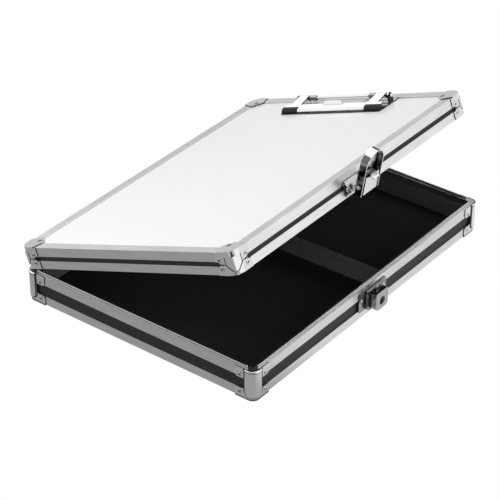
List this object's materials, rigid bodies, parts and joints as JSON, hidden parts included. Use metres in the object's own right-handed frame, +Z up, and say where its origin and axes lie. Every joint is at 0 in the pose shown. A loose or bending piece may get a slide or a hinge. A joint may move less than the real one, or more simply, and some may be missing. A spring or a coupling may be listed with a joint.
{
  "type": "storage clipboard box",
  "caption": "Lidded clipboard case with a dry-erase writing board, sprung paper clip, metal trims and corner caps, an inner elastic strap and a key-locked flip hasp.",
  "frame": {"origin": "middle of the box's underside, on the table", "axes": "+X towards the lock and hasp, -X towards the hinge, +Y towards the end with the paper clip, +Z up"},
  "size_m": [0.2941, 0.3722, 0.1775],
  "materials": {
    "panel": "fine pebbled black laminate on fibreboard",
    "trim": "satin anodised extrusion",
    "chrome": "bright plated pressed steel",
    "bare_steel": "machined",
    "board": "gloss white dry-erase face",
    "lining": "black felt",
    "elastic": "woven elastic",
    "rubber": "matt moulded"
  },
  "bodies": {
    "base": {"floor_panel": "panel", "wall_hinge": "panel", "wall_lock": "panel", "wall_near": "panel", "wall_far": "panel", "foot_trim_hinge": "trim", "foot_trim_lock": "trim", "foot_trim_near": "trim", "foot_trim_far": "trim", "rim_hinge": "trim", "rim_lock": "trim", "rim_near": "trim", "rim_far": "trim", "base_cap_hinge_near": "chrome", "base_cap_hinge_far": "chrome", "base_cap_lock_near": "chrome", "base_cap_lock_far": "chrome", "base_rivets": "chrome", "floor_lining": "lining", "wall_lining": "lining", "elastic_strap": "elastic", "strap_rivets": "chrome", "base_leaf": "trim", "hinge_pin": "chrome", "lock_plate": "chrome", "lock_body": "chrome"},
    "lid": {"writing_board": "board", "lid_wall_hinge": "panel", "lid_wall_lock": "panel", "lid_wall_near": "panel", "lid_wall_far": "panel", "top_trim_hinge": "trim", "top_trim_lock": "trim", "top_trim_near": "trim", "top_trim_far": "trim", "lid_rim_hinge": "trim", "lid_rim_lock": "trim", "lid_rim_near": "trim", "lid_rim_far": "trim", "lid_cap_hinge_near": "chrome", "lid_cap_hinge_far": "chrome", "lid_cap_lock_near": "chrome", "lid_cap_lock_far": "chrome", "lid_rivets": "chrome", "lid_lining": "lining", "lid_leaf": "trim", "hasp_plate": "chrome", "hasp_pin": "chrome", "clip_base": "chrome", "clip_rod": "chrome", "clip_springs": "chrome", "clip_rivets": "chrome"},
    "hasp": {"hasp": "chrome"},
    "lock_cylinder": {"lock_cylinder": "bare_steel"},
    "lock_bolt": {"lock_bolt": "bare_steel"},
    "clip_jaw": {"clip_jaw": "chrome", "clip_grips": "rubber"}
  },
  "joints": [
    {"name": "lid_hinge", "type": "hinge", "parent": "base", "child": "lid", "pos_m": [-0.139, 0, 0.03315], "axis": [0, -1, 0], "range_deg": [-20.5, 159.5]},
    {"name": "hasp_swing", "type": "hinge", "parent": "lid", "child": "hasp", "pos_m": [0.1275, 0, 0.14074], "axis": [0, 1, 0], "range_deg": [0, 150.5]},
    {"name": "lock_turn", "type": "hinge", "parent": "base", "child": "lock_cylinder", "pos_m": [0.1465, 0, 0.0165], "axis": [-1, 0, 0], "range_deg": [0, 90]},
    {"name": "bolt_slide", "type": "slide", "parent": "base", "child": "lock_bolt", "axis": [0, 0, -1], "range_m": [0, 0.00311]},
    {"name": "jaw_pivot", "type": "hinge", "parent": "lid", "child": "clip_jaw", "pos_m": [-0.01842, 0.167, 0.10754], "axis": [-0.9367, 0, -0.3502], "range_deg": [0, 38], "stiffness_Nm_per_rad": 0.6, "springref_deg": -28.65}
  ],
  "couplings": [
    {"joint": "lock_turn", "follows": "bolt_slide", "rad_per_m": 504.87}
  ]
}
